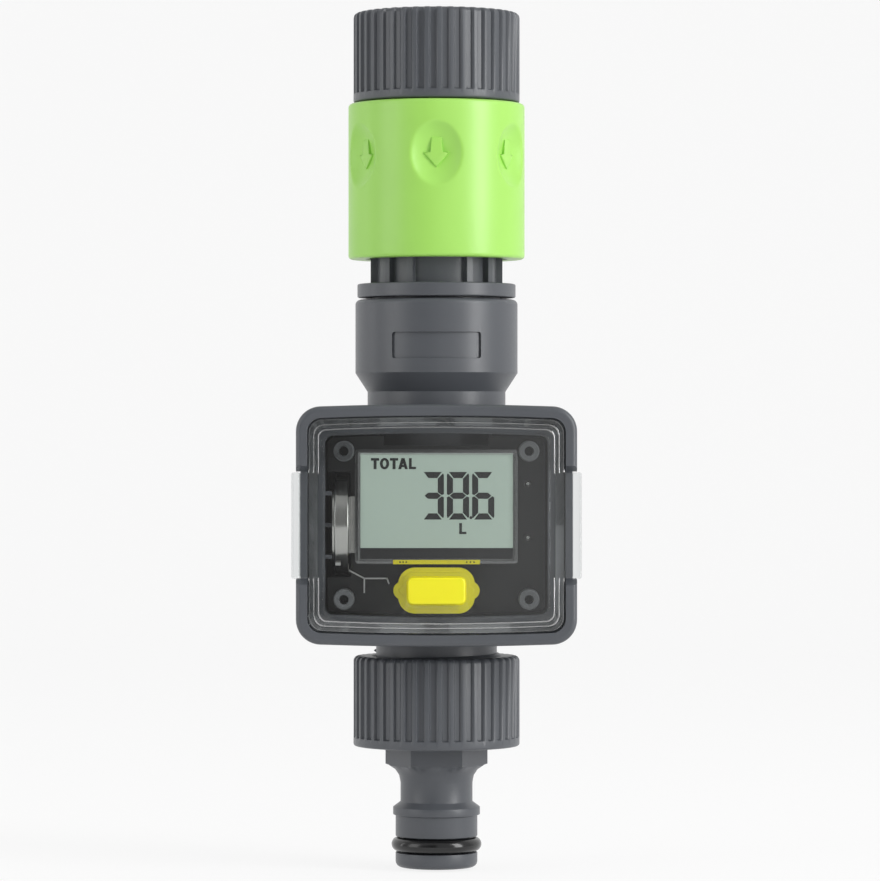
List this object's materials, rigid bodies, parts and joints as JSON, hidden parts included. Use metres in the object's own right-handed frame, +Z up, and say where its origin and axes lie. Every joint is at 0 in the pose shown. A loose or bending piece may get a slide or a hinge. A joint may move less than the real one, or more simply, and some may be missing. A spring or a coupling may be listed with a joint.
{
  "type": "garden water meter",
  "caption": "In-line garden hose water meter with a display, a threaded tap adapter in a snap coupling, and a threaded adapter with a hose plug at the outlet.",
  "frame": {"origin": "on the pipe axis, at the face of the inlet washer that seals against the tap", "axes": "+Z up along the pipe towards the tap, -Y is the way the display faces"},
  "size_m": [0.056, 0.0411, 0.1689],
  "materials": {
    "body_plastic": "satin moulded grey ABS",
    "sleeve_plastic": "satin moulded light green ABS",
    "black_rubber": "smooth black nitrile rubber",
    "spring_steel": "drawn stainless wire",
    "acetal": "natural white acetal",
    "smoked_window": "polished smoked clear plastic",
    "board_laminate": "black solder resist",
    "clear_frame": "clear moulded plastic",
    "panel_glass": "grey-green liquid crystal panel behind a polariser",
    "grey_silicone": "striped silicone connector strip",
    "clear_silicone": "translucent silicone bead",
    "yellow_silicone": "satin yellow silicone",
    "black_plastic": "moulded black",
    "nickel_steel": "nickel-plated steel",
    "reed_glass": "green-tinted glass with tinned leads"
  },
  "bodies": {
    "tap_adapter": {"inlet_adapter": "body_plastic", "inlet_washer": "black_rubber", "inlet_plug_seal": "black_rubber"},
    "meter": {"coupling_body": "body_plastic", "coupling_seal": "black_rubber", "sleeve_spring": "spring_steel", "meter_body": "body_plastic", "window_gasket": "clear_silicone", "display_window": "smoked_window", "circuit_board": "board_laminate", "lcd_frame": "clear_frame", "lcd_panel": "panel_glass", "lcd_connector": "grey_silicone", "push_switch": "black_plastic", "controller_chip": "black_plastic", "coin_cell": "nickel_steel", "positive_contact": "nickel_steel", "negative_contact": "nickel_steel", "reed_switch": "reed_glass", "guide_vanes": "acetal", "bearing_carrier": "acetal", "turbine_shaft": "nickel_steel"},
    "sleeve": {"release_sleeve": "sleeve_plastic"},
    "jaw_1": {"locking_jaw_1": "acetal"},
    "jaw_2": {"locking_jaw_2": "acetal"},
    "jaw_3": {"locking_jaw_3": "acetal"},
    "button": {"reset_button": "yellow_silicone"},
    "turbine": {"turbine_wheel": "acetal", "turbine_magnets": "nickel_steel"},
    "outlet_seat": {"outlet_washer": "black_rubber"},
    "outlet_nut": {"outlet_adapter": "body_plastic", "outlet_plug_seal": "black_rubber"}
  },
  "joints": [
    {"name": "meter_swivel", "type": "hinge", "parent": "tap_adapter", "child": "meter", "pos_m": [0, 0, -0.025], "axis": [0, 0, 1], "continuous": true},
    {"name": "sleeve_slide", "type": "slide", "parent": "meter", "child": "sleeve", "axis": [0, 0, 1], "range_m": [-0.004, 0], "stiffness_N_per_m": 500, "springref_m": 0.006, "deforming": ["sleeve_spring"]},
    {"name": "button_press", "type": "slide", "parent": "meter", "child": "button", "axis": [0, 1, 0], "range_m": [0, 0.0007], "stiffness_N_per_m": 1000},
    {"name": "turbine_spin", "type": "hinge", "parent": "meter", "child": "turbine", "pos_m": [0, 0, -0.083], "axis": [0, 0, 1], "continuous": true},
    {"name": "outlet_travel", "type": "slide", "parent": "meter", "child": "outlet_seat", "axis": [0, 0, 1], "range_m": [-0.0123, 0]},
    {"name": "outlet_unscrew", "type": "hinge", "parent": "outlet_seat", "child": "outlet_nut", "pos_m": [0, 0, -0.1271], "axis": [0, 0, 1], "range_deg": [-2430, 0]},
    {"name": "jaw_1_slide", "type": "slide", "parent": "meter", "child": "jaw_1", "axis": [0, 1, 0], "range_m": [0, 0.0016]},
    {"name": "jaw_2_slide", "type": "slide", "parent": "meter", "child": "jaw_2", "axis": [-0.866, -0.5, 0], "range_m": [0, 0.0016]},
    {"name": "jaw_3_slide", "type": "slide", "parent": "meter", "child": "jaw_3", "axis": [0.866, -0.5, 0], "range_m": [0, 0.0016]}
  ],
  "couplings": [
    {"joint": "outlet_travel", "follows": "outlet_unscrew", "m_per_rad": 0.00028871},
    {"joint": "jaw_1_slide", "follows": "sleeve_slide", "ratio": -0.3875},
    {"joint": "jaw_2_slide", "follows": "sleeve_slide", "ratio": -0.3875},
    {"joint": "jaw_3_slide", "follows": "sleeve_slide", "ratio": -0.3875}
  ]
}
